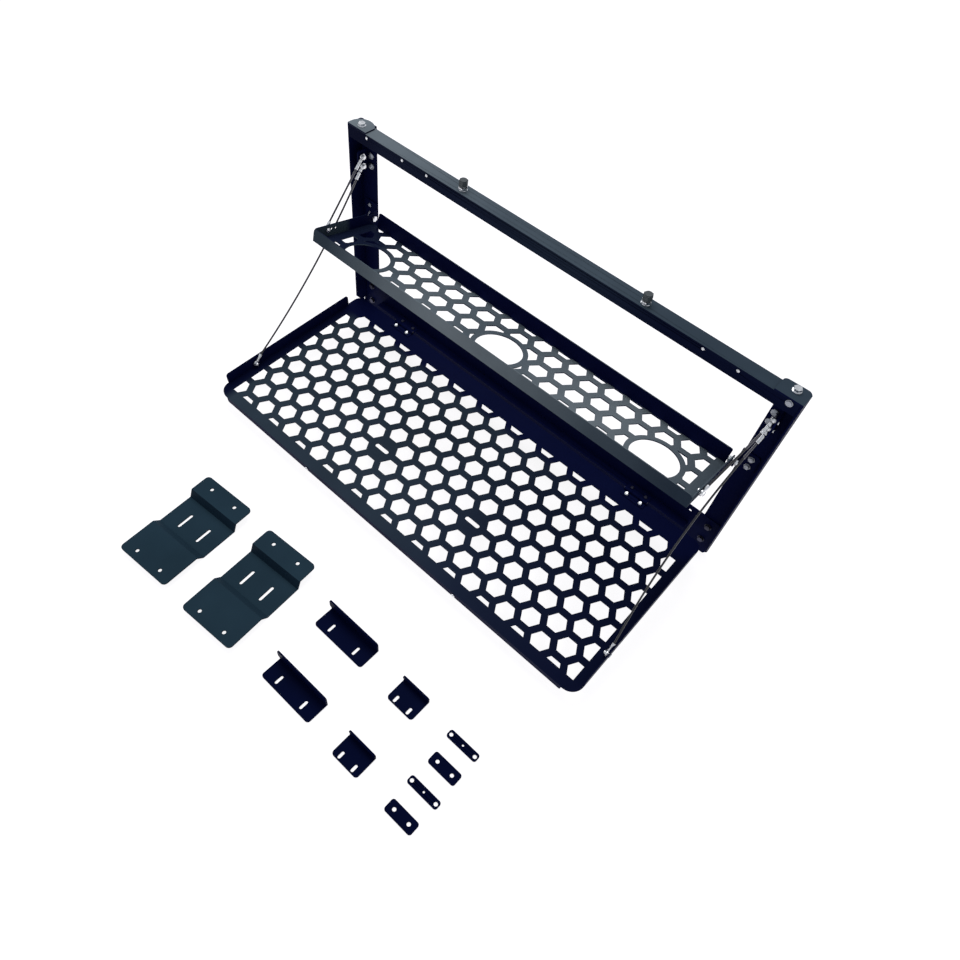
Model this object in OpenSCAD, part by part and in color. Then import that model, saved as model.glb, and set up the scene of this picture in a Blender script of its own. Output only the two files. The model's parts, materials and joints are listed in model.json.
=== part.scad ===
// Fold-down tailgate step: a wall frame of two angle uprights, a square tube and a
// lower panel carries a large honeycomb tray on two butt hinges and a small
// honeycomb shelf with three cup holes on two pivot pins. Four wire ropes hold both
// trays level. Ten loose mounting brackets lie in front of the frame.
// X runs along the frame, Y = 0 is the mounting plane, -Y is towards the user.

/* [Frame] */
// Overall width of the frame over both uprights
frame_w = 800; // [600:10:1000]
// Height of the uprights
frame_h = 386; // [300:2:500]
// Depth of the uprights' side flanges
frame_d = 29; // [20:1:50]
// Width of the uprights' rear flanges
rear_flange_w = 35; // [25:1:60]
// Thickness of the frame's steel sheet
sheet = 2.5; // [1.5:0.5:4]
// Height of the top tube
tube_h = 20; // [15:1:30]
// Depth of the top tube
tube_d = 24; // [15:1:30]
// Length of the top tube
tube_w = 794; // [600:2:900]
// Height of the lower panel
panel_h = 82; // [50:1:120]
// Length of the rail that carries the hinges
rail_w = 700; // [500:10:760]

/* [Honeycomb] */
// Distance between the flats of one cell hole
cell_flats = 28; // [20:0.5:34]
// Distance between neighbouring cell rows
cell_pitch = 39; // [30:0.5:50]

/* [Lower tray] */
// Width of the lower tray
lower_w = 782; // [600:2:790]
// Depth of the lower tray, from hinge axis to front edge
lower_depth = 331.5; // [250:1:400]
// Height of the lower tray's side flanges above its floor
lower_side_h = 21; // [10:1:25]
// Tilt of the lower tray at rest, front edge down
lower_tilt = 2.55; // [0:0.05:5]
// Height of the hinge axis above the frame's foot
hinge_z = 48.8; // [40:0.2:70]
// Distance of each butt hinge from the middle
hinge_x = 266; // [150:1:320]

/* [Upper tray] */
// Width of the upper tray
upper_w = 719; // [500:1:720]
// Depth of the upper tray in front of its pivot
upper_depth = 132.5; // [90:0.5:140]
// Tilt of the upper tray at rest, front edge up
upper_tilt = 12.8; // [0:0.1:20]
// Height of the pivot pins above the frame's foot
pivot_z = 232.1; // [200:0.1:260]
// Diameter of a cup hole
cup_d = 75; // [60:1:90]
// Distance of the outer cup holes from the middle
cup_x = 282; // [200:1:300]

/* [Wires] */
// Diameter of the wire ropes
wire_d = 3; // [1.5:0.5:4]
// Inward bow of the long wire ropes at mid span
wire_bow = 10; // [0:0.5:12]

/* [Loose brackets] */
// Thickness of the loose brackets
loose_t = 2.5; // [2:0.5:4]
// Width of a joggled bracket
joggle_w = 100; // [60:1:140]

/* [Hidden] */
$fn = 48;
half_w = frame_w / 2;
upright_in = half_w - rear_flange_w;
side_in = half_w - sheet;
panel_front = -2 * sheet;
cell_r = cell_flats / sqrt(3);
cell_dx = cell_pitch * sqrt(3) / 2;
tray_t = 2;

// hinge of the lower tray
hinge_y = -26.5;
hinge_mid = -6;
tray_bolt_y = -7.5;
leaf_bolt_y = hinge_y + 9;
barrel_r = 3;
leaf_t = 1.5;
leaf_w = 44;
knuckle = 14.5;
rail_top = hinge_z - barrel_r;
floor_top = -barrel_r;
lower_half = lower_w / 2;
lower_row = -46.5;
lower_clip = [374, -312.5, -32];
front_lip_h = 12;
front_corner_r = 22;

// upper tray, seen from its pivot
pivot_y = -17.5;
upper_half = upper_w / 2;
upper_t = 1.8;
shelf_top = -9;
upper_row = -17;
upper_clip = [340.5, -114.5, -3.1];
cup_y = -86.4;
cup_ring = 8;
back_wall_y = -0.9;
back_wall_h = 25.5;
back_wall_ends = [-345, 353.5];
upper_wall_h = 19.5;
pivot_r = 3;

// fixing places on the right upright: [x, z]
panel_bolt_at = [[380, 64], [380, 29.5]];
anchor_at = [[373, 335], [373, 317]];
pivot_bolt_at = [[380, 241], [380, 225]];
tube_bolt_at = [384, frame_h - 5.2];
panel_corner_at = [343, 71];
rivet_at = [-9, 28];
cap_bolts = [[-378, -19], [381.5, -12]];
stop_at = [163.3, -18.5];
stop_mid = -2.3;
tube_rivet_x = [-357, -280, -229, 259, 311];
tube_rivet_z = frame_h - 5;
tube_wall = 1.5;

// wire ends: pin axis and eye centre on the right side
anchor_ear_x = 382;
eye_r = 5;
eye_t = 2.5;
wire_pin_r = 2.5;
frame_eye_x = 379;
short_top = [frame_eye_x, -19, 336];
long_top = [frame_eye_x, -19, 320];
short_pin_local = [362, -104.4, 2.2];
long_pin_local = [386.5, -252, 5.1];
frame_ferrule = 5;
lower_ferrule = 14;
upper_ferrule = 8;
ferrule_r = 2.5;

function spin_x(p, a) = [
    p[0],
    p[1] * cos(a) - p[2] * sin(a),
    p[1] * sin(a) + p[2] * cos(a)
];
short_end = [0, pivot_y, pivot_z] + spin_x(short_pin_local, -upper_tilt);
long_end = [0, hinge_y, hinge_z] + spin_x(long_pin_local, lower_tilt);

// loose brackets on the floor in front: [x, y, turn]
joggle_places = [[-209, -540, 4], [-64, -536, 4]];
wide_angle_places = [[91.5, -523.5, 0], [98, -625, 0]];
small_angle_places = [[220.5, -527, 0], [222, -629.5, 0]];
narrow_strap_places = [[318.5, -502.5, 0], [321.5, -581, 0]];
wide_strap_places = [[321, -541, 0], [321.5, -621.5, 0]];

black = [0.13, 0.16, 0.19];
dark = [0.08, 0.09, 0.11];
silver = [0.75, 0.77, 0.8];
rope = [0.12, 0.11, 0.13];

// ---------- helpers ----------

// children on the right (side 1) or mirrored to the left (side -1)
module on_side(side) {
    if (side < 0)
        mirror([1, 0, 0])
            children();
    else
        children();
}

module both_sides() {
    children();
    mirror([1, 0, 0])
        children();
}

// a box from its low corner to its high corner
module block(low, high) {
    translate(low)
        cube(high - low);
}

// a sketch of [y, z], thickened towards +X from x
module in_yz(x, t) {
    translate([x, 0, 0])
        rotate([90, 0, 90])
            linear_extrude(t)
                children();
}

// a sketch of [x, z], thickened towards -Y from y
module in_xz(y, t) {
    translate([0, y, 0])
        rotate([90, 0, 0])
            linear_extrude(t)
                children();
}

// a rectangle with round corners, from its low corner
module round_rect(low, size, r) {
    translate(low + [r, 0])
        square([size[0] - 2 * r, size[1]]);
    translate(low + [0, r])
        square([size[0], size[1] - 2 * r]);
    for (x = [r, size[0] - r], y = [r, size[1] - r])
        translate(low + [x, y])
            circle(r);
}

// a slot along the sketch's x axis, w wide and len long over all
module slot(len, w) {
    square([len - w, w], center = true);
    for (x = [-1, 1])
        translate([x * (len - w) / 2, 0])
            circle(w / 2);
}

// hexagon bolt: washer and head above z = 0, shank of length len below it
module hex_bolt(flats, head_h, shank_r, len, washer_r) {
    cylinder(h = 1, r = washer_r);
    translate([0, 0, 1])
        cylinder(h = head_h, r = flats / sqrt(3), $fn = 6);
    translate([0, 0, -len])
        cylinder(h = len, r = shank_r);
}

// pan-head screw: domed head above z = 0, shank below it
module pan_screw(head_r, head_h, shank_r, len) {
    cylinder(h = head_h / 2, r = head_r);
    translate([0, 0, head_h / 2])
        cylinder(h = head_h / 2, r1 = head_r, r2 = head_r * 0.6);
    translate([0, 0, -len])
        cylinder(h = len, r = shank_r);
}

// children moved to p with their z axis pointing at q
module aimed(p, q) {
    v = q - p;
    translate(p)
        rotate([0, acos(v[2] / norm(v)), atan2(v[1], v[0])])
            children();
}

// ring terminal on an X pin at p, its crimped ferrule pointing at q
module wire_end(p, q, ferrule) {
    difference() {
        union() {
            translate(p - [eye_t / 2, 0, 0])
                rotate([0, 90, 0])
                    cylinder(h = eye_t, r = eye_r);
            aimed(p, q) {
                translate([0, 0, eye_r - 1.2])
                    cylinder(h = 2, r = 1.2);
                translate([0, 0, eye_r])
                    cylinder(h = ferrule, r = ferrule_r);
            }
        }
        translate(p - [eye_t, 0, 0])
            rotate([0, 90, 0])
                cylinder(h = 2 * eye_t, r = wire_pin_r + 0.1);
    }
}

// wire rope between two pins, less the eye and ferrule at each end; it leaves the
// ferrules straight and bows inwards between them
module wire(p, q, from_p, from_q, bow) {
    along = (q - p) / norm(q - p);
    low = p + along * (eye_r + from_p);
    high = q - along * (eye_r + from_q);
    straight = 3;
    from = low + along * straight;
    span = high - low - along * 2 * straight;
    points = [
        for (i = [0 : 8])
            let (t = i / 8)
                from + span * t - [bow * 4 * t * (1 - t), 0, 0]
    ];
    rope_piece(low, from, 0, 0.05);
    rope_piece(from + span, high, 0.05, 0);
    for (i = [0 : 7])
        rope_piece(points[i], points[i + 1], 0.05, 0.05);
}

// one straight piece of rope, a little longer at either end where it meets the next
module rope_piece(p, q, before, after) {
    aimed(p, q)
        translate([0, 0, -before])
            cylinder(h = norm(q - p) + before + after, r = wire_d / 2, $fn = 8);
}

module in_lower_tray() {
    translate([0, hinge_y, hinge_z])
        rotate([lower_tilt, 0, 0])
            children();
}

module in_upper_tray() {
    translate([0, pivot_y, pivot_z])
        rotate([-upper_tilt, 0, 0])
            children();
}

// ---------- frame ----------

module upright() {
    intersection() {
        union() {
            rear_flange();
            side_flange();
        }
        translate([half_w - 60, -60, -1])
            linear_extrude(frame_h + 2)
                round_rect([0, 0], [60, 60], 4);
    }
}

module rear_flange() {
    in_xz(0, sheet)
        difference() {
            union() {
                round_rect([upright_in, 0], [rear_flange_w, 40], 8);
                translate([upright_in, 0])
                    square([rear_flange_w - 8, 20]);
                translate([upright_in, 8])
                    square([rear_flange_w, frame_h - 8]);
            }
            for (p = concat(panel_bolt_at, anchor_at, pivot_bolt_at))
                translate(p)
                    circle(2.7);
        }
}

module side_flange() {
    in_yz(side_in, sheet)
        difference() {
            polygon([[0, 8], [-3, 8], [-frame_d, 42], [-frame_d, frame_h], [0, frame_h]]);
            translate(rivet_at)
                circle(2);
        }
}

// plate over the tube's end; outer_r and inner_r round its two rear corners
module cap_plate(outer_r, inner_r, bolt) {
    inner = half_w - 40;
    translate([0, 0, frame_h])
        linear_extrude(sheet)
            difference() {
                intersection() {
                    translate([inner, -frame_d])
                        square([40, frame_d]);
                    hull() {
                        translate([inner, -frame_d])
                            square([40, 1]);
                        translate([half_w - outer_r, -outer_r])
                            circle(outer_r);
                        translate([inner + inner_r, -1 - inner_r])
                            circle(inner_r);
                    }
                }
                translate(bolt)
                    circle(3.2);
            }
}

module left_cap_plate() {
    cap_plate(22, 17, [-cap_bolts[0][0], cap_bolts[0][1]]);
}

module top_tube() {
    wall = tube_wall;
    low = [-tube_w / 2, -frame_d, frame_h - tube_h];
    color(black)
        difference() {
            block(low, low + [tube_w, tube_d, tube_h]);
            block(low + [-1, wall, wall], low + [tube_w + 1, tube_d - wall, tube_h - wall]);
            for (side = [-1, 1])
                translate([stop_mid + side * stop_at[0], stop_at[1], frame_h - wall - 1])
                    cylinder(h = wall + 2, r = 4.3);
            for (bolt = cap_bolts)
                translate([bolt[0], bolt[1], frame_h - wall - 1])
                    cylinder(h = wall + 2, r = 3.2);
            for (x = tube_rivet_x)
                translate([x, wall + 1 - frame_d, tube_rivet_z])
                    rotate([90, 0, 0])
                        cylinder(h = wall + 2, r = 1.6);
            translate([tube_bolt_at[0], wall + 1 - frame_d, tube_bolt_at[1]])
                rotate([90, 0, 0])
                    cylinder(h = wall + 2, r = 2.3);
        }
}

module lower_panel() {
    half = side_in - 1.5;
    color(black)
        in_xz(-sheet, sheet)
            difference() {
                round_rect([-half, 0], [2 * half, panel_h], 4);
                for (s = [-1, 1], p = concat(panel_bolt_at, [panel_corner_at]))
                    translate([s * p[0], p[1]])
                        circle(p == panel_corner_at ? 3 : 2.7);
            }
}

module hinge_rail() {
    front = hinge_y + 6;
    color(black)
        difference() {
            union() {
                block([-rail_w / 2, panel_front - 2, rail_top - 22], [rail_w / 2, panel_front, rail_top]);
                block([-rail_w / 2, front, rail_top - 2], [rail_w / 2, panel_front, rail_top]);
            }
            for (side = [-1, 1], x = [-13.5, 13.5])
                translate([hinge_mid + side * hinge_x + x, leaf_bolt_y, rail_top - 3])
                    cylinder(h = 4, r = 2.2);
        }
}

module cap_plate_bolts() {
    color(silver)
        for (bolt = cap_bolts)
            translate([bolt[0], bolt[1], frame_h + sheet]) {
                hex_bolt(10, 4, 3, 11, 6.5);
                translate([0, 0, -sheet - tube_wall - 5])
                    cylinder(h = 5, r = 10 / sqrt(3), $fn = 6);
            }
}

// bolt through the rear flange and whatever lies on it, head towards -Y
module flange_bolt(p, y) {
    translate([p[0], y, p[1]])
        rotate([90, 0, 0])
            hex_bolt(8.5, 3, 2.5, -y - 0.2, 6);
}

module tube_end_bolt() {
    color(silver)
        translate([tube_bolt_at[0], -frame_d, tube_bolt_at[1]])
            rotate([90, 0, 0])
                hex_bolt(7, 1.5, 2.2, tube_wall + 3, 5);
}

module panel_bolts() {
    color(dark)
        both_sides()
            for (p = panel_bolt_at)
                flange_bolt(p, panel_front);
}

module pivot_bracket_bolts() {
    color(silver)
        for (p = pivot_bolt_at) {
            translate([p[0], panel_front, p[1]])
                rotate([90, 0, 0])
                    hex_bolt(7, 2.6, 2.5, -panel_front - 0.2, 4.9);
            translate([-p[0], panel_front, p[1]])
                rotate([90, 0, 0])
                    pan_screw(3.6, 2.4, 2.5, -panel_front - 0.2);
        }
}

module flange_rivets() {
    color(silver)
        both_sides()
            translate([side_in, rivet_at[0], rivet_at[1]])
                rotate([0, -90, 0])
                    pan_screw(3.2, 1.6, 1.9, sheet - 0.2);
}

module tube_rivets() {
    color(silver)
        for (x = tube_rivet_x)
            translate([x, -frame_d, tube_rivet_z])
                rotate([90, 0, 0])
                    pan_screw(2.4, 1.2, 1.5, 3);
}

// ---------- wire anchors and pivots ----------

module wire_anchor() {
    difference() {
        union() {
            in_xz(-sheet, sheet)
                round_rect([366, 308], [anchor_ear_x + sheet - 366, 37], 3);
            in_yz(anchor_ear_x, sheet)
                round_rect([-26, 308], [26 - sheet, 37], 4);
            block([anchor_ear_x - 6, -2 * sheet, 308.5], [anchor_ear_x + sheet, -sheet, 344.5]);
            block([anchor_ear_x, -9, 308], [anchor_ear_x + sheet, -sheet, 345]);
        }
        for (p = anchor_at)
            translate([p[0], 1, p[1]])
                rotate([90, 0, 0])
                    cylinder(h = 10, r = 2.6);
        for (z = [short_top[2], long_top[2]])
            translate([anchor_ear_x - 1, short_top[1], z])
                rotate([0, 90, 0])
                    cylinder(h = sheet + 2, r = wire_pin_r + 0.1);
    }
}

module anchor_screws() {
    color(silver)
        both_sides()
            for (p = anchor_at)
                translate([p[0], -2 * sheet, p[1]])
                    rotate([90, 0, 0])
                        pan_screw(5.4, 4, 2.4, 4.8);
}

// pin through one wire eye: shank from x0 to x1, nut, spacer and head on it
module wire_pin(x0, x1, spacer, nut, head, p) {
    translate([0, p[1], p[2]])
        rotate([0, 90, 0]) {
            translate([0, 0, x0])
                cylinder(h = x1 - x0, r = wire_pin_r);
            for (part = [spacer, nut, head])
                translate([0, 0, part[0]])
                    cylinder(h = part[1] - part[0], r = part[2], $fn = part[3]);
        }
}

// distances along X of the parts on a frame wire pin: [from, to, radius, facets]
frame_spacer = [frame_eye_x + eye_t / 2, anchor_ear_x, 3.3, 48];
frame_nut = [frame_eye_x - eye_t / 2 - 2.5, frame_eye_x - eye_t / 2, 3.9, 6];
frame_head = [anchor_ear_x + sheet, anchor_ear_x + sheet + 1.5, 2.9, 48];

module frame_wire_pins() {
    color(silver)
        both_sides()
            for (p = [short_top, long_top])
                wire_pin(374, anchor_ear_x + sheet + 1.5, frame_spacer, frame_nut, frame_head, p);
}

module frame_wire_ends() {
    color(silver)
        both_sides() {
            wire_end(short_top, short_end, frame_ferrule);
            wire_end(long_top, long_end, frame_ferrule);
        }
}

module pivot_bracket() {
    z0 = 216;
    h = 34;
    ear_z = pivot_z - 9;
    ear = upright_in - sheet;
    difference() {
        union() {
            in_xz(-sheet, sheet)
                round_rect([ear, z0], [26 + sheet, h], 4);
            block([ear, -2 * sheet, z0], [ear + 8, -sheet, z0 + h]);
            in_yz(ear, sheet)
                round_rect([-24, ear_z], [24 - sheet, 18], 7);
            block([ear, -12, ear_z], [ear + sheet, -sheet, ear_z + 18]);
        }
        for (p = pivot_bolt_at)
            translate([p[0], 1, p[1]])
                rotate([90, 0, 0])
                    cylinder(h = 10, r = 2.7);
        translate([ear - 1, pivot_y, pivot_z])
            rotate([0, 90, 0])
                cylinder(h = sheet + 2, r = pivot_r);
    }
}

module pivot_pins() {
    ear = upright_in - sheet;
    color(silver)
        both_sides()
            translate([0, pivot_y, pivot_z])
                rotate([0, 90, 0]) {
                    translate([0, 0, upper_half - upper_t - 4])
                        cylinder(h = 15.5, r = pivot_r);
                    translate([0, 0, upper_half - upper_t - 3.4])
                        cylinder(h = 3, r = 9 / sqrt(3), $fn = 6);
                    translate([0, 0, upper_half + 0.4])
                        cylinder(h = ear - upper_half - 0.4, r = 5);
                    translate([0, 0, ear + sheet])
                        cylinder(h = 3, r = 9 / sqrt(3), $fn = 6);
                }
}

// ---------- butt hinges ----------

// children of a hinge on one side; the pair sits hinge_mid off the middle
module hinged(side) {
    translate([hinge_mid, 0, 0])
        on_side(side)
            children();
}

// rolled barrel along X, from x0 to x1 about the hinge axis
module barrel(x0, x1, bore_r) {
    translate([x0, 0, 0])
        rotate([0, 90, 0])
            difference() {
                cylinder(h = x1 - x0, r = barrel_r);
                translate([0, 0, -1])
                    cylinder(h = x1 - x0 + 2, r = bore_r);
            }
}

module frame_leaf() {
    back = hinge_y + 15;
    outer = leaf_w / 2;
    inner = outer - knuckle;
    translate([hinge_x, 0, 0])
        difference() {
            union() {
                translate([0, hinge_y, hinge_z]) {
                    barrel(-outer, -inner, 1.5);
                    barrel(inner, outer, 1.5);
                }
                block([-outer, hinge_y + 4, rail_top], [outer, back, rail_top + leaf_t]);
                for (x = [-outer, inner])
                    block([x, hinge_y + 2, rail_top], [x + knuckle, hinge_y + 5, rail_top + leaf_t]);
            }
            for (x = [-13.5, 13.5])
                translate([x, leaf_bolt_y, rail_top - 1])
                    cylinder(h = 4, r = 2.2);
        }
}

module tray_leaf() {
    outer = leaf_w / 2;
    inner = outer - knuckle - 0.3;
    in_lower_tray()
        translate([hinge_x, 0, 0])
            difference() {
                union() {
                    barrel(-inner, inner, 1.6);
                    block([-outer, -13.5, floor_top], [outer, -4, floor_top + leaf_t]);
                    block([-inner, -5, floor_top], [inner, -2, floor_top + leaf_t]);
                }
                for (x = [-13.5, 13.5])
                    translate([x, tray_bolt_y, floor_top - 1])
                        cylinder(h = 4, r = 2.2);
            }
}

module hinge_pins() {
    outer = leaf_w / 2;
    color(silver)
        for (side = [-1, 1])
            translate([hinge_mid + side * hinge_x - outer - 0.8, hinge_y, hinge_z])
                rotate([0, 90, 0]) {
                    cylinder(h = leaf_w + 1.6, r = 1.5);
                    cylinder(h = 0.8, r = 2.4);
                    translate([0, 0, leaf_w + 0.8])
                        cylinder(h = 0.8, r = 2.4);
                }
}

module frame_leaf_bolts() {
    color(silver)
        for (side = [-1, 1], x = [-13.5, 13.5])
            translate([hinge_mid + side * hinge_x + x, leaf_bolt_y, rail_top + leaf_t])
                pan_screw(3.2, 2, 2, 8);
}

module tray_leaf_bolts() {
    color(silver)
        in_lower_tray()
            for (side = [-1, 1], x = [-13.5, 13.5])
                translate([hinge_mid + side * hinge_x + x, tray_bolt_y, floor_top + leaf_t])
                    pan_screw(3.8, 3, 2, 7);
}

// ---------- height stops on the top tube ----------

module at_stop(side) {
    translate([stop_mid + side * stop_at[0], stop_at[1], frame_h])
        children();
}

module stop_nuts() {
    color(silver)
        for (side = [-1, 1])
            at_stop(side)
                difference() {
                    union() {
                        cylinder(h = 1, r = 7);
                        translate([0, 0, 1])
                            cylinder(h = 4, r = 12.5 / sqrt(3), $fn = 6);
                    }
                    translate([0, 0, -1])
                        cylinder(h = 10, r = 4.05);
                }
}

module stop_bolt(side) {
    color(silver)
        at_stop(side)
            translate([0, 0, -13])
                cylinder(h = 23, r = 4);
}

module stop_cap(side) {
    color(dark)
        at_stop(side)
            translate([0, 0, 7])
                difference() {
                    union() {
                        cylinder(h = 8, r = 7.2, $fn = 6);
                        cylinder(h = 9, r = 5.6);
                    }
                    translate([0, 0, -1])
                        cylinder(h = 4, r = 4);
                }
}

// ---------- lower tray ----------

module hex_cells(columns, row_y, rows, skip) {
    mid = (columns - 1) / 2;
    for (c = [0 : columns - 1], k = rows)
        if (!(k == skip[0] && abs(c - mid) == skip[1]))
            translate([(c - mid) * cell_dx, row_y - cell_pitch * (k + (c % 2 == 1 ? 0 : 0.5))])
                circle(cell_r, $fn = 6);
}

module lower_floor() {
    half = lower_half;
    r = front_corner_r;
    difference() {
        union() {
            translate([-half, r - lower_depth])
                square([2 * half, lower_depth - r - 17]);
            translate([r - half, -lower_depth])
                square([2 * (half - r), lower_depth - 0.3]);
            for (s = [-1, 1]) {
                translate([s * (half - r), r - lower_depth])
                    circle(r);
                translate([s * (half - 16), -16.3])
                    circle(16);
            }
            translate([16 - half, -20])
                square([2 * (half - 16), 19.7]);
        }
        intersection() {
            hex_cells(23, lower_row, [-1 : 7], [4, 3]);
            translate([-lower_clip[0], lower_clip[1]])
                square([2 * lower_clip[0], lower_clip[2] - lower_clip[1]]);
            union() {
                translate([-lower_half, -lower_depth])
                    square([lower_w, lower_depth - 50]);
                translate([-352, -60])
                    square([704, 60]);
            }
        }
        for (s = [-1, 1]) {
            translate([s * 3 * cell_dx, lower_row - 4.5 * cell_pitch])
                slot(28, 7.5);
            for (x = [-13.5, 13.5])
                translate([hinge_mid + s * hinge_x + x, tray_bolt_y])
                    circle(2.2);
        }
    }
}

module lower_tray() {
    half = lower_half;
    lip_half = half - front_corner_r - 2;
    color(black)
        in_lower_tray()
            difference() {
                union() {
                    translate([0, 0, floor_top - tray_t])
                        linear_extrude(tray_t)
                            lower_floor();
                    both_sides()
                        in_yz(half - tray_t, tray_t)
                            round_rect([-310, floor_top - tray_t], [278, lower_side_h + tray_t], 5);
                    both_sides()
                        block([half - tray_t, -306, floor_top - tray_t], [half, -36, floor_top + 8]);
                    in_xz(tray_t - lower_depth, tray_t)
                        round_rect([-lip_half, floor_top - front_lip_h], [2 * lip_half, front_lip_h], 3);
                    block(
                        [4 - lip_half, -lower_depth, floor_top - 5],
                        [lip_half - 4, tray_t - lower_depth, floor_top]
                    );
                }
                both_sides() {
                    translate([half - tray_t - 1, long_pin_local[1], long_pin_local[2]])
                        rotate([0, 90, 0])
                            cylinder(h = tray_t + 2, r = wire_pin_r + 0.1);
                    translate([163, 3 - lower_depth, -9.5])
                        rotate([90, 0, 0])
                            cylinder(h = 4, r = 1.8);
                }
            }
}

module tray_front_screws() {
    color(silver)
        in_lower_tray()
            both_sides()
                translate([163, -lower_depth, -9.5])
                    rotate([90, 0, 0])
                        pan_screw(3.2, 2.4, 1.7, 4);
}

lower_spacer = [long_pin_local[0] + eye_t / 2, lower_half - tray_t, 3.3, 48];
lower_nut = [long_pin_local[0] - eye_t / 2 - 2.5, long_pin_local[0] - eye_t / 2, 3.9, 6];
lower_head = [lower_half, lower_half + 2, 3.8, 48];

module lower_wire_pins() {
    color(silver)
        in_lower_tray()
            both_sides()
                wire_pin(381.5, lower_half + 2, lower_spacer, lower_nut, lower_head, long_pin_local);
}

module lower_wire_ends() {
    color(silver)
        both_sides()
            wire_end(long_end, long_top, lower_ferrule);
}

// ---------- upper tray ----------

module upper_floor() {
    difference() {
        translate([-upper_half, -upper_depth])
            square([upper_w, upper_depth + back_wall_y]);
        difference() {
            intersection() {
                hex_cells(21, upper_row, [-1 : 2], [99, 99]);
                translate([-upper_clip[0], upper_clip[1]])
                    square([2 * upper_clip[0], upper_clip[2] - upper_clip[1]]);
            }
            for (x = [-cup_x, 0, cup_x])
                translate([x, cup_y])
                    circle(cup_d / 2 + cup_ring);
        }
        for (x = [-cup_x, 0, cup_x])
            translate([x, cup_y])
                circle(cup_d / 2);
    }
}

module upper_tray() {
    bottom = shelf_top - upper_t;
    wall_h = upper_wall_h + upper_t;
    back_wall = [back_wall_ends[1] - back_wall_ends[0], back_wall_h + upper_t];
    color(black)
        in_upper_tray()
            difference() {
                union() {
                    translate([0, 0, bottom])
                        linear_extrude(upper_t)
                            upper_floor();
                    both_sides()
                        in_yz(upper_half - upper_t, upper_t)
                            union() {
                                round_rect([-upper_depth, bottom], [upper_depth - 13, wall_h], 6);
                                round_rect([-30, bottom], [37, 18], 6);
                                translate([-upper_depth, bottom])
                                    square([40, 10]);
                            }
                    in_xz(upper_t - upper_depth, upper_t)
                        union() {
                            round_rect([-upper_half, bottom], [upper_w, wall_h], 6);
                            translate([-upper_half, bottom])
                                square([upper_w, 10]);
                        }
                    in_xz(back_wall_y, upper_t)
                        union() {
                            round_rect([back_wall_ends[0], bottom], back_wall, 3);
                            translate([back_wall_ends[0], bottom])
                                square([back_wall[0], 10]);
                        }
                }
                both_sides()
                    translate([upper_half - upper_t - 1, 0, 0])
                        rotate([0, 90, 0]) {
                            cylinder(h = upper_t + 2, r = pivot_r + 0.08);
                            translate([-short_pin_local[2], short_pin_local[1], 0])
                                cylinder(h = upper_t + 2, r = wire_pin_r + 0.1);
                            for (y = [-95.6, -86.7])
                                translate([-short_pin_local[2], y, 0])
                                    cylinder(h = upper_t + 2, r = 2);
                        }
            }
}

upper_spacer = [upper_half, short_pin_local[0] - eye_t / 2, 3.3, 48];
upper_nut = [short_pin_local[0] + eye_t / 2, short_pin_local[0] + eye_t / 2 + 2.5, 3.9, 6];
upper_head = [upper_half - upper_t - 2, upper_half - upper_t, 3.8, 48];

module upper_wire_pins() {
    inner = upper_head[0];
    color(silver)
        in_upper_tray()
            both_sides()
                wire_pin(inner, 366.2, upper_spacer, upper_nut, upper_head, short_pin_local);
}

module upper_wire_ends() {
    color(silver)
        both_sides()
            wire_end(short_end, short_top, upper_ferrule);
}

module short_wire() {
    color(rope)
        wire(short_top, short_end, frame_ferrule, upper_ferrule, 0);
}

module long_wire() {
    color(rope)
        wire(long_top, long_end, frame_ferrule, lower_ferrule, wire_bow);
}

// ---------- loose brackets ----------

module placed(p) {
    translate([p[0], p[1], 0])
        rotate([0, 0, p[2]])
            children();
}

// strip bent into three levels, the slotted middle one on the floor
module joggled_bracket(place) {
    t = loose_t;
    color(black)
        placed(place)
            difference() {
                intersection() {
                    in_yz(-joggle_w / 2, joggle_w)
                        polygon([
                            [-101, 10], [-41, 10], [-31, 0], [30, 0], [36.5, 15], [69, 15],
                            [69, 15 + t], [34.8, 15 + t], [28.3, t],
                            [-30, t], [-40, 10 + t], [-101, 10 + t]
                        ]);
                    translate([0, 0, -1])
                        linear_extrude(30)
                            round_rect([-joggle_w / 2, -101], [joggle_w, 170], 7);
                }
                for (x = [-25.5, 25.5], y = [-88, 54.5])
                    translate([x, y, -1])
                        cylinder(h = 30, r = 3);
                for (x = [-20.5, 20.5])
                    translate([x, -6, -1])
                        rotate([0, 0, 90])
                            linear_extrude(30)
                                slot(28, 5);
            }
}

// angle bracket: slotted foot of size w by depth, flange of height h at its back
module angle_bracket(place, w, depth, h, lip, slot_gap, slot_len, slot_y) {
    t = loose_t;
    color(black)
        placed(place)
            difference() {
                union() {
                    linear_extrude(t)
                        union() {
                            round_rect([-w / 2, 0], [w, depth], 5);
                            translate([-w / 2, depth / 2])
                                square([w, depth / 2]);
                        }
                    in_xz(depth, t)
                        union() {
                            round_rect([-w / 2 - lip, 6], [w + lip, h - 6], 4);
                            translate([-w / 2, 0])
                                square([w, h / 2]);
                        }
                }
                for (x = [-1, 1])
                    translate([x * slot_gap / 2, slot_y, -1])
                        rotate([0, 0, 90])
                            linear_extrude(t + 2)
                                slot(slot_len, 4.6);
            }
}

module wide_angle_bracket(place) {
    angle_bracket(place, 97, 36, 25, 3, 51, 14, 13);
}

module small_angle_bracket(place) {
    angle_bracket(place, 48, 36, 15, 1.5, 25, 11, 7.5);
}

// flat strap with one hole near each end and, if mid_r > 0, one in the middle
module strap(place, size, hole_gap, hole_r, mid_r) {
    color(black)
        placed(place)
            linear_extrude(loose_t)
                difference() {
                    round_rect(-size / 2, size, 4);
                    for (x = [-1, 1])
                        translate([x * hole_gap / 2, 0])
                            circle(hole_r);
                    if (mid_r > 0)
                        circle(mid_r);
                }
}

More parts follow.
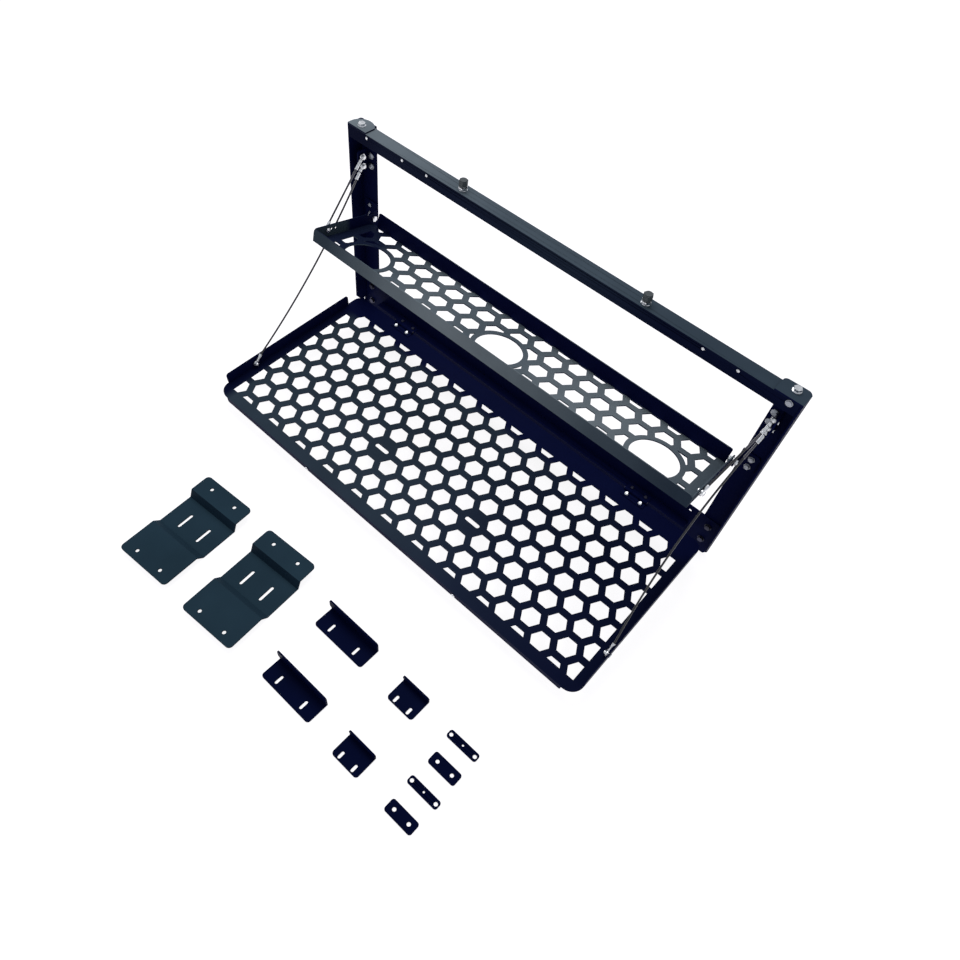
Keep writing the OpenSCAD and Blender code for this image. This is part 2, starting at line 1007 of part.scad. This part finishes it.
module narrow_strap(place) {
    strap(place, [53, 12.5], 43, 2.8, 1.5);
}

module wide_strap(place) {
    strap(place, [47.5, 19], 26, 2.8, 0);
}

// ---------- assembly ----------

color(black) on_side(-1) upright();  // left_upright
color(black) on_side(1) upright();  // right_upright
color(black) on_side(-1) left_cap_plate();
color(black) on_side(1) cap_plate(8, 6, cap_bolts[1]);  // right_cap_plate
top_tube();
lower_panel();
hinge_rail();
cap_plate_bolts();
tube_end_bolt();
panel_bolts();
flange_rivets();
tube_rivets();
color(black) on_side(-1) wire_anchor();  // left_wire_anchor
color(black) on_side(1) wire_anchor();  // right_wire_anchor
anchor_screws();
frame_wire_pins();
frame_wire_ends();
color(black) on_side(-1) pivot_bracket();  // left_pivot_bracket
color(black) on_side(1) pivot_bracket();  // right_pivot_bracket
pivot_bracket_bolts();
pivot_pins();
color(black) hinged(-1) frame_leaf();  // left_frame_leaf
color(black) hinged(1) frame_leaf();  // right_frame_leaf
hinge_pins();
frame_leaf_bolts();
stop_nuts();
stop_bolt(-1);  // left_stop_bolt
stop_bolt(1);  // right_stop_bolt
stop_cap(-1);  // left_stop_cap
stop_cap(1);  // right_stop_cap
lower_tray();
color(black) hinged(-1) tray_leaf();  // left_tray_leaf
color(black) hinged(1) tray_leaf();  // right_tray_leaf
tray_leaf_bolts();
tray_front_screws();
lower_wire_pins();
lower_wire_ends();
upper_tray();
upper_wire_pins();
upper_wire_ends();
on_side(-1) short_wire();  // left_short_wire
on_side(1) short_wire();  // right_short_wire
on_side(-1) long_wire();  // left_long_wire
on_side(1) long_wire();  // right_long_wire
joggled_bracket(joggle_places[0]);  // joggled_bracket_a
joggled_bracket(joggle_places[1]);  // joggled_bracket_b
wide_angle_bracket(wide_angle_places[0]);  // wide_angle_bracket_a
wide_angle_bracket(wide_angle_places[1]);  // wide_angle_bracket_b
small_angle_bracket(small_angle_places[0]);  // small_angle_bracket_a
small_angle_bracket(small_angle_places[1]);  // small_angle_bracket_b
narrow_strap(narrow_strap_places[0]);  // narrow_strap_a
narrow_strap(narrow_strap_places[1]);  // narrow_strap_b
wide_strap(wide_strap_places[0]);  // wide_strap_a
wide_strap(wide_strap_places[1]);  // wide_strap_b
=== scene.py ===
"""Fold-down honeycomb tailgate step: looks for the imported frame."""
import json
import math

import bmesh
import bpy
from mathutils import Matrix, Vector

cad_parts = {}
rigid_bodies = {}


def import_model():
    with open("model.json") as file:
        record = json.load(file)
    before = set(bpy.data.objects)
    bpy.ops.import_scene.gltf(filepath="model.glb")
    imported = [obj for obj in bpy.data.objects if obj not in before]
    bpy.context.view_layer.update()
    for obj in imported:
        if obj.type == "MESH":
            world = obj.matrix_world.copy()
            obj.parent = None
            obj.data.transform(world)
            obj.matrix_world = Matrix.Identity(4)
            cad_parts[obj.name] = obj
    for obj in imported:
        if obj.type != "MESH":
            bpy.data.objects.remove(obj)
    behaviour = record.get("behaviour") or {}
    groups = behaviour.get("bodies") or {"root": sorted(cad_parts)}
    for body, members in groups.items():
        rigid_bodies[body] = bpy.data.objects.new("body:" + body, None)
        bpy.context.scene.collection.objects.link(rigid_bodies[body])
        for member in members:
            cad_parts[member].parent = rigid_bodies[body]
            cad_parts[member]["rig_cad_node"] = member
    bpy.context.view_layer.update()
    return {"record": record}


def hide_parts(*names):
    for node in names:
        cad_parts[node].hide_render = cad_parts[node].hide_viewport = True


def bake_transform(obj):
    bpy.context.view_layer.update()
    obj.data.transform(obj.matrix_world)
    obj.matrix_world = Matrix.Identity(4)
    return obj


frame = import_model()


def add_object(name, data):
    obj = bpy.data.objects.new(name, data)
    bpy.context.scene.collection.objects.link(obj)
    return obj


# ---------------------------------------------------------------- camera
CAMERA_PLACE = (0.4603, -0.7722, 1.0311)
CAMERA_TURN_DEG = (35.457, -5.391, 41.812)
SENSOR_WIDTH_MM = 36
LENS_MM = 28.17

camera = add_object("camera", bpy.data.cameras.new("camera"))
camera.location = CAMERA_PLACE
camera.rotation_euler = [math.radians(a) for a in CAMERA_TURN_DEG]
camera.data.sensor_width = SENSOR_WIDTH_MM
camera.data.lens = LENS_MM
bpy.context.scene.camera = camera

# ---------------------------------------------------------------- wire ropes
# pin centres on the right side, in metres, as in the CAD part
HINGE = Vector((0, -0.0265, 0.0488))
PIVOT = Vector((0, -0.0175, 0.2321))
LOWER_TILT = math.radians(2.55)
UPPER_TILT = math.radians(-12.8)
SHORT_TOP = Vector((0.379, -0.019, 0.336))
LONG_TOP = Vector((0.379, -0.019, 0.320))
SHORT_END = PIVOT + Matrix.Rotation(UPPER_TILT, 3, "X") @ Vector((0.362, -0.1044, 0.0022))
LONG_END = HINGE + Matrix.Rotation(LOWER_TILT, 3, "X") @ Vector((0.3865, -0.252, 0.0051))
LONG_BOW = 0.01

# from a pin's centre to the rope: the eye, then the ferrule that the CAD part has
EYE_R = 0.005
FRAME_FERRULE = 0.005
SHORT_FERRULE = 0.008
LONG_FERRULE = 0.014
FERRULE_OVERLAP = 0.001

ROPE_D = 0.003
ROPE_STRANDS = 6
STRAND_GROOVE = 0.07
STRAND_LAY = 0.02
ROUTE_STEP = 0.001

CRIMP_LEN = 0.014
CRIMP_R = 0.0021
CRIMP_SWELL = 0.00045
CRIMP_EDGE = 0.0008
CRIMP_BANDS = 3
CRIMP_PRESS = 0.00018
CRIMP_STEP = 0.0007
SLEEVE_LEN = 0.026
SLEEVE_R = 0.0017


def rope_route(start, end, start_gap, end_gap, bow, count=33):
    """Points from one ferrule to the other, bowed by that vector at mid span."""
    along = (end - start).normalized()
    a = start + along * start_gap
    b = end - along * end_gap
    ts = [i / (count - 1) for i in range(count)]
    return [a.lerp(b, t) + bow * (4 * t * (1 - t)) for t in ts]


def route_length(points):
    return sum((q - p).length for p, q in zip(points, points[1:]))


def walk(points, spacing):
    """The same route in even steps, as (distance, point, direction)."""
    total = route_length(points)
    steps = max(2, round(total / spacing))
    out, seg, done = [], 0, 0.0
    for i in range(steps + 1):
        want = total * i / steps
        while seg < len(points) - 2 and done + (points[seg + 1] - points[seg]).length < want:
            done += (points[seg + 1] - points[seg]).length
            seg += 1
        piece = points[seg + 1] - points[seg]
        out.append((want, points[seg] + piece.normalized() * (want - done), piece.normalized()))
    return out


def stretch_of(steps, low, high, slack=1e-6):
    """The points of a walked route between two distances along it."""
    return [point for distance, point, _ in steps if low - slack <= distance <= high + slack]


def ring_round(point, along, radius, distance, sides, strands):
    """Places round a route's point; strands > 0 grooves that many twisted strands into the ring."""
    u = along.cross(Vector((1, 0, 0))).normalized()
    v = along.cross(u)
    places = []
    for k in range(sides):
        angle = 2 * math.pi * k / sides
        r = radius
        if strands:
            turn = strands * (angle - 2 * math.pi * distance / STRAND_LAY)
            r *= 1 - STRAND_GROOVE + STRAND_GROOVE * abs(math.cos(turn / 2))
        places.append(point + (u * math.cos(angle) + v * math.sin(angle)) * r)
    return places


def tube_mesh(name, points, radius_at, spacing=0.0015, sides=24, strands=0):
    """A closed tube along points; radius_at gives its radius at a distance along it."""
    bm = bmesh.new()
    rings = []
    for distance, point, along in walk(points, spacing):
        places = ring_round(point, along, radius_at(distance), distance, sides, strands)
        rings.append([bm.verts.new(place) for place in places])
    for low, high in zip(rings, rings[1:]):
        for k in range(sides):
            bm.faces.new((low[k], low[(k + 1) % sides], high[(k + 1) % sides], high[k]))
    bm.faces.new(rings[0])
    bm.faces.new(reversed(rings[-1]))
    bmesh.ops.recalc_face_normals(bm, faces=bm.faces)
    mesh = bpy.data.meshes.new(name)
    bm.to_mesh(mesh)
    bm.free()
    for polygon in mesh.polygons:
        polygon.use_smooth = len(polygon.vertices) == 4
    return add_object(name, mesh)


def rope_radius(distance):
    return ROPE_D / 2


def sleeve_radius(distance):
    return SLEEVE_R


def crimp_radius(distance):
    """A swaged ferrule: round edges and shallow pressed bands."""
    band = 0.5 + 0.5 * math.cos(2 * math.pi * distance / (CRIMP_LEN / CRIMP_BANDS))
    edge = min(distance, CRIMP_LEN - distance, CRIMP_EDGE) / CRIMP_EDGE
    return CRIMP_R + CRIMP_SWELL * edge - CRIMP_PRESS * band


ROPES = []
CRIMPS = []
SLEEVES = []


def add_rope(side, kind, top, end, ferrule, bow):
    """One rope from the frame to a tray, with its crimp and sleeve at the frame's end."""
    flip = Vector((side, 1, 1))
    top, end = top * flip, end * flip
    inwards = Vector((-side * bow, 0, 0))
    start_gap = EYE_R + FRAME_FERRULE - FERRULE_OVERLAP
    end_gap = EYE_R + ferrule - FERRULE_OVERLAP
    route = rope_route(top, end, start_gap, end_gap, inwards)
    name = ("right_" if side > 0 else "left_") + kind
    rope = tube_mesh(name + "_rope", route, rope_radius, strands=ROPE_STRANDS)
    steps = walk(route, ROUTE_STEP)
    crimp_end = FERRULE_OVERLAP + CRIMP_LEN
    crimp_route = stretch_of(steps, FERRULE_OVERLAP, crimp_end)
    sleeve_route = stretch_of(steps, crimp_end, crimp_end + SLEEVE_LEN)
    crimp = tube_mesh(name + "_crimp", crimp_route, crimp_radius, CRIMP_STEP)
    sleeve = tube_mesh(name + "_sleeve", sleeve_route, sleeve_radius)
    for piece in (rope, crimp, sleeve):
        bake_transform(piece)
    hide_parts(name)
    ROPES.append(rope)
    CRIMPS.append(crimp)
    SLEEVES.append(sleeve)


for side in (-1, 1):
    add_rope(side, "short_wire", SHORT_TOP, SHORT_END, SHORT_FERRULE, 0)
    add_rope(side, "long_wire", LONG_TOP, LONG_END, LONG_FERRULE, LONG_BOW)


# ---------------------------------------------------------------- shader helpers
def srgb(r, g, b):
    """A colour given as it appears, 0 to 255, as linear light."""
    return tuple((c / 255 / 12.92) if c < 10.3 else ((c / 255 + 0.055) / 1.055) ** 2.4 for c in (r, g, b))


def scaled(colour, k):
    return tuple(c * k for c in colour)


def new_material(name):
    mat = bpy.data.materials.new(name)
    mat.use_nodes = True
    tree = mat.node_tree
    return mat, tree, tree.nodes["Principled BSDF"]


def object_place(tree):
    return tree.nodes.new("ShaderNodeTexCoord")


def noise(tree, scale, detail=2.0):
    """A noise texture in the object's own metres; returns its value socket."""
    tex = tree.nodes.new("ShaderNodeTexNoise")
    tex.inputs["Scale"].default_value = scale
    tex.inputs["Detail"].default_value = detail
    tree.links.new(object_place(tree).outputs["Object"], tex.inputs["Vector"])
    return tex.outputs["Fac"]


def ramp(tree, value, stops):
    """A colour ramp over value; stops are (position, colour)."""
    node = tree.nodes.new("ShaderNodeValToRGB")
    elements = node.color_ramp.elements
    while len(elements) < len(stops):
        elements.new(0.5)
    for element, (position, colour) in zip(elements, stops):
        element.position = position
        element.color = (*colour, 1)
    tree.links.new(value, node.inputs["Fac"])
    return node.outputs["Color"]


def mottled(tree, scale, detail, low, high):
    """Soft patches of noise, from the colour low to the colour high."""
    return ramp(tree, noise(tree, scale, detail), [(0.3, low), (0.7, high)])


def mottled_grey(tree, scale, detail, low, high):
    return mottled(tree, scale, detail, (low,) * 3, (high,) * 3)


def spread(tree, value, low, high):
    """0 where value is low to 1 where it is high."""
    node = tree.nodes.new("ShaderNodeMapRange")
    node.inputs["From Min"].default_value = low
    node.inputs["From Max"].default_value = high
    tree.links.new(value, node.inputs["Value"])
    return node.outputs["Result"]


def axis_of(tree, output, axis):
    split = tree.nodes.new("ShaderNodeSeparateXYZ")
    tree.links.new(object_place(tree).outputs[output], split.inputs[0])
    return split.outputs[axis]


def along_axis(tree, axis, low, high):
    """0 at low to 1 at high along one of the object's axes."""
    return spread(tree, axis_of(tree, "Object", axis), low, high)


def painted_top_light_mask(tree):
    """0 on upright faces to 1 on faces that look up, where the painted top light goes."""
    return spread(tree, axis_of(tree, "Normal", "Z"), 0.25, 0.9)


def mix(tree, factor, a, b, mode="MIX"):
    node = tree.nodes.new("ShaderNodeMix")
    node.data_type = "RGBA"
    node.blend_type = mode
    if isinstance(factor, float):
        node.inputs[0].default_value = factor
    else:
        tree.links.new(factor, node.inputs[0])
    tree.links.new(a, node.inputs[6])
    tree.links.new(b, node.inputs[7])
    return node.outputs[2]


def add_bump(tree, shader, scale, strength, distance):
    """Fine surface grain from noise of that scale, distance in metres."""
    bump = tree.nodes.new("ShaderNodeBump")
    bump.inputs["Strength"].default_value = strength
    bump.inputs["Distance"].default_value = distance
    tree.links.new(noise(tree, scale), bump.inputs["Height"])
    tree.links.new(bump.outputs["Normal"], shader.inputs["Normal"])


# ---------------------------------------------------------------- powder coat and painted light
COAT_SPECULAR = 0.012
COAT_TINT = (0.55, 0.7, 1, 1)
HALF_WIDTH = 0.4

# painted light: the coat's tones for painted deep shade, painted half light and a bright painted highlight
PAINTED_SHADE_TONE = (6, 10, 37)
PAINTED_HALF_LIGHT_TONE = (44, 55, 66)
PAINTED_SHEEN_TONE = (108, 116, 122)


def painted_light_tone(light):
    """The coat's colour with that much painted light: 0 painted deep shade to 1 bright painted highlight.
    """
    if light < 0.5:
        low, high, part = PAINTED_SHADE_TONE, PAINTED_HALF_LIGHT_TONE, light * 2
    else:
        low, high, part = PAINTED_HALF_LIGHT_TONE, PAINTED_SHEEN_TONE, light * 2 - 1
    return srgb(*(a + (b - a) * part for a, b in zip(low, high)))


def painted_light_stops(*stops):
    """Painted light colour stops from (place along X, light)."""
    return [(place, painted_light_tone(light)) for place, light in stops]


def plain(colour):
    return [(0.0, colour), (1.0, colour)]


def painted_light_colour(tree, upright, top):
    """Painted light and shade along X, from the stops for upright faces and for faces that look up."""
    where = along_axis(tree, "X", -HALF_WIDTH, HALF_WIDTH)
    return mix(tree, painted_top_light_mask(tree), ramp(tree, where, upright), ramp(tree, where, top))


def powder_coat(name, upright, top, rear_shade=None):
    """Satin powder coat with fine orange peel and soft patches of tone and gloss, under painted light and
    shade.

    upright and top are the painted light stops along X of upright and of upward faces.
    The last argument paints shade towards the back: (y where the painted shade starts, y where it ends,
    upright stops, top stops).
    """
    mat, tree, shader = new_material(name)
    tone = painted_light_colour(tree, upright, top)
    if rear_shade:
        start, end, rear_upright, rear_top = rear_shade
        # painted shade towards the back, where less light falls
        tone = mix(tree, along_axis(tree, "Y", start, end), tone, painted_light_colour(tree, rear_upright, rear_top))
    patches = mottled_grey(tree, 14, 3, 0.84, 1.0)
    tree.links.new(mix(tree, 1.0, tone, patches, "MULTIPLY"), shader.inputs["Base Color"])
    tree.links.new(mottled_grey(tree, 9, 4, 0.36, 0.5), shader.inputs["Roughness"])
    shader.inputs["Specular IOR Level"].default_value = COAT_SPECULAR
    shader.inputs["Specular Tint"].default_value = COAT_TINT
    add_bump(tree, shader, scale=1400, strength=0.14, distance=0.00025)
    return mat


INK = plain(srgb(8, 13, 48))
NAVY = plain(srgb(4, 9, 40))
FRAME_COAT = powder_coat("frame_coat", INK, INK)
# painted light on the cap plates: tops painted brightest at the left, dimmer further along X
CAP_COAT_PAINTED_LIGHT = powder_coat("cap_plate_coat_painted_light", INK, painted_light_stops((0, 0.95), (0.3, 0.42), (1, 0.53)))
# painted light on the tube: tops painted brightest at the left and dimmer to the right, front faces painted
# in shade with a dim lit stretch near the middle
TUBE_COAT_PAINTED_LIGHT = powder_coat(
    "tube_coat_painted_light",
    painted_light_stops((0.05, 0), (0.1, 0.15), (0.3, 0.2), (0.55, 0.33), (0.75, 0.1), (1, 0.03)),
    painted_light_stops((0, 0.92), (0.1, 0.9), (0.4, 0.67), (0.8, 0.54), (1, 0.53)),
)
# painted light on the lower tray: tops painted in half light, with painted shade at the left end, darkening
# to the right, and painted shade at the back
LOWER_COAT_PAINTED_LIGHT = powder_coat(
    "lower_tray_coat_painted_light",
    INK,
    painted_light_stops((0.03, 0.03), (0.05, 0.5), (0.5, 0.45), (0.7, 0.25), (0.87, 0.12), (1, 0.05)),
    rear_shade=(-0.085, -0.065, INK, INK),
)
# painted light on the shelf floor, with painted shade at its left end
SHELF_FLOOR_PAINTED_LIGHT = painted_light_stops(
    (0.13, 0.2), (0.18, 0.67), (0.3, 0.88), (0.5, 0.74), (0.62, 0.92), (0.75, 0.96), (0.94, 0.74)
)
# painted light along the shelf's front lip, brightest left of the middle and fading to the right
SHELF_LIP_PAINTED_LIGHT = painted_light_stops((0.09, 0.53), (0.25, 0.89), (0.4, 1), (0.58, 0.9), (0.75, 0.66), (0.92, 0.44))
# upper tray: painted shade on its back upright faces
UPPER_COAT_PAINTED_LIGHT = powder_coat("upper_tray_coat_painted_light", SHELF_LIP_PAINTED_LIGHT, SHELF_FLOOR_PAINTED_LIGHT, rear_shade=(-0.08, -0.07, INK, SHELF_FLOOR_PAINTED_LIGHT))
# joggled brackets: tops painted lighter than their sides
JOGGLE_COAT_PAINTED_LIGHT = powder_coat("joggle_coat_painted_light", plain(srgb(20, 34, 48)), plain(srgb(34, 52, 64)))
LOOSE_COAT = powder_coat("loose_coat", NAVY, NAVY)


# ---------------------------------------------------------------- metal, rubber and rope
def bare_metal(name, colour, roughness):
    """Plated steel: fine grain and a little uneven lustre."""
    mat, tree, shader = new_material(name)
    shader.inputs["Metallic"].default_value = 1
    tree.links.new(mottled(tree, 160, 3, scaled(colour, 0.78), colour), shader.inputs["Base Color"])
    gloss = mottled_grey(tree, 220, 3, roughness - 0.08, roughness + 0.12)
    tree.links.new(gloss, shader.inputs["Roughness"])
    add_bump(tree, shader, scale=900, strength=0.2, distance=0.0002)
    return mat


def moulded(name, colour, roughness):
    """Moulded rubber or plastic with a fine matt grain."""
    mat, tree, shader = new_material(name)
    tone = mottled(tree, 60, 2, scaled(colour, 0.8), scaled(colour, 1.25))
    tree.links.new(tone, shader.inputs["Base Color"])
    shader.inputs["Roughness"].default_value = roughness
    shader.inputs["Specular IOR Level"].default_value = 0.3
    add_bump(tree, shader, scale=2600, strength=0.25, distance=0.00015)
    return mat


def clear_coated(name, colour, roughness, coat):
    """A dark core under a smooth clear plastic skin."""
    mat, tree, shader = new_material(name)
    tone = mottled(tree, 500, 2, scaled(colour, 0.6), scaled(colour, 1.3))
    tree.links.new(tone, shader.inputs["Base Color"])
    shader.inputs["Roughness"].default_value = roughness
    shader.inputs["Coat Weight"].default_value = coat
    shader.inputs["Coat Roughness"].default_value = 0.06
    add_bump(tree, shader, scale=1800, strength=0.15, distance=0.0001)
    return mat


ZINC = bare_metal("zinc", (0.86, 0.87, 0.9), 0.24)
DULL_ZINC = bare_metal("dull_zinc", (0.4, 0.42, 0.47), 0.4)
BLACK_OXIDE = bare_metal("black_oxide", (0.05, 0.05, 0.08), 0.38)
RUBBER = moulded("rubber", srgb(50, 56, 60), 0.4)
ROPE = clear_coated("coated_rope", (0.006, 0.006, 0.01), 0.4, 0.3)
SLEEVE = clear_coated("clear_sleeve", (0.03, 0.027, 0.045), 0.25, 1.0)

# ---------------------------------------------------------------- painting
EDGE_ROUND = 0.0004
SHARP_EDGE = math.radians(40)

SLOT_MATERIAL = {
    "black_powder_coat": FRAME_COAT,
    "zinc_steel": ZINC,
    "black_bolt": BLACK_OXIDE,
    "black_rubber": RUBBER,
    "coated_wire_rope": ROPE,
}
NODE_MATERIAL = {
    "left_cap_plate": CAP_COAT_PAINTED_LIGHT,
    "right_cap_plate": CAP_COAT_PAINTED_LIGHT,
    "top_tube": TUBE_COAT_PAINTED_LIGHT,
    "lower_tray": LOWER_COAT_PAINTED_LIGHT,
    "upper_tray": UPPER_COAT_PAINTED_LIGHT,
    "tube_end_bolt": DULL_ZINC,
    "anchor_screws": DULL_ZINC,
    "pivot_bracket_bolts": DULL_ZINC,
    "frame_leaf_bolts": BLACK_OXIDE,
    "hinge_pins": BLACK_OXIDE,
    "joggled_bracket_a": JOGGLE_COAT_PAINTED_LIGHT,
    "joggled_bracket_b": JOGGLE_COAT_PAINTED_LIGHT,
}


def paint(obj, material):
    obj.data.materials.clear()
    obj.data.materials.append(material)
    for polygon in obj.data.polygons:
        polygon.material_index = 0


def soften(obj):
    """Rounds the sharp edges of a CAD node, as its bends and coating do."""
    weld = obj.modifiers.new("weld", "WELD")
    weld.merge_threshold = 1e-6
    bevel = obj.modifiers.new("edges", "BEVEL")
    bevel.width = EDGE_ROUND
    bevel.segments = 2
    bevel.limit_method = "ANGLE"
    bevel.angle_limit = SHARP_EDGE


cad = {o["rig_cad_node"]: o for o in bpy.context.scene.objects if "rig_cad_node" in o}
slot_of = {s["node"]: s["material_slot"] for s in frame["record"]["subparts"]}
for node, obj in cad.items():
    material = NODE_MATERIAL.get(node, SLOT_MATERIAL[slot_of[node]])
    if "angle_bracket" in node or "strap" in node:
        material = LOOSE_COAT
    paint(obj, material)
    soften(obj)
for pieces, material in ((ROPES, ROPE), (CRIMPS, ZINC), (SLEEVES, SLEEVE)):
    for piece in pieces:
        paint(piece, material)

# ---------------------------------------------------------------- floor and light
FLOOR_HALF_SIZE = 6
FLOOR_DROP = 0.0005
SKY_COLOUR = (0.92, 0.96, 1, 1)
SKY_STRENGTH = 0.6
LIGHT_PLACE = Vector((-0.7, 0.5, 2.2))
LIGHT_AIM = Vector((-0.1, -0.15, 0.1))
LIGHT_SIZE = 1.6
LIGHT_POWER = 34


def pale_floor():
    """A wide floor that glows softly, so that it stays evenly pale."""
    mesh = bpy.data.meshes.new("floor")
    bm = bmesh.new()
    bmesh.ops.create_grid(bm, x_segments=1, y_segments=1, size=FLOOR_HALF_SIZE)
    bm.to_mesh(mesh)
    bm.free()
    floor = add_object("floor", mesh)
    floor.location = (0, 0, -FLOOR_DROP)
    mat, _, shader = new_material("floor")
    shader.inputs["Base Color"].default_value = (0.22, 0.21, 0.23, 1)
    shader.inputs["Roughness"].default_value = 0.9
    shader.inputs["Specular IOR Level"].default_value = 0.0
    shader.inputs["Emission Color"].default_value = (1, 0.995, 1, 1)
    shader.inputs["Emission Strength"].default_value = 0.9
    mesh.materials.append(mat)
    return floor


def soft_sky():
    world = bpy.data.worlds.new("world")
    bpy.context.scene.world = world
    world.use_nodes = True
    background = world.node_tree.nodes["Background"]
    background.inputs["Color"].default_value = SKY_COLOUR
    background.inputs["Strength"].default_value = SKY_STRENGTH


def top_light():
    light = bpy.data.lights.new("top_light", "AREA")
    light.shape = "DISK"
    light.size = LIGHT_SIZE
    light.energy = LIGHT_POWER
    lamp = add_object("top_light", light)
    lamp.location = LIGHT_PLACE
    lamp.rotation_euler = (LIGHT_AIM - LIGHT_PLACE).to_track_quat("-Z", "Y").to_euler()


pale_floor()
soft_sky()
top_light()
bpy.context.scene.view_settings.view_transform = "Standard"
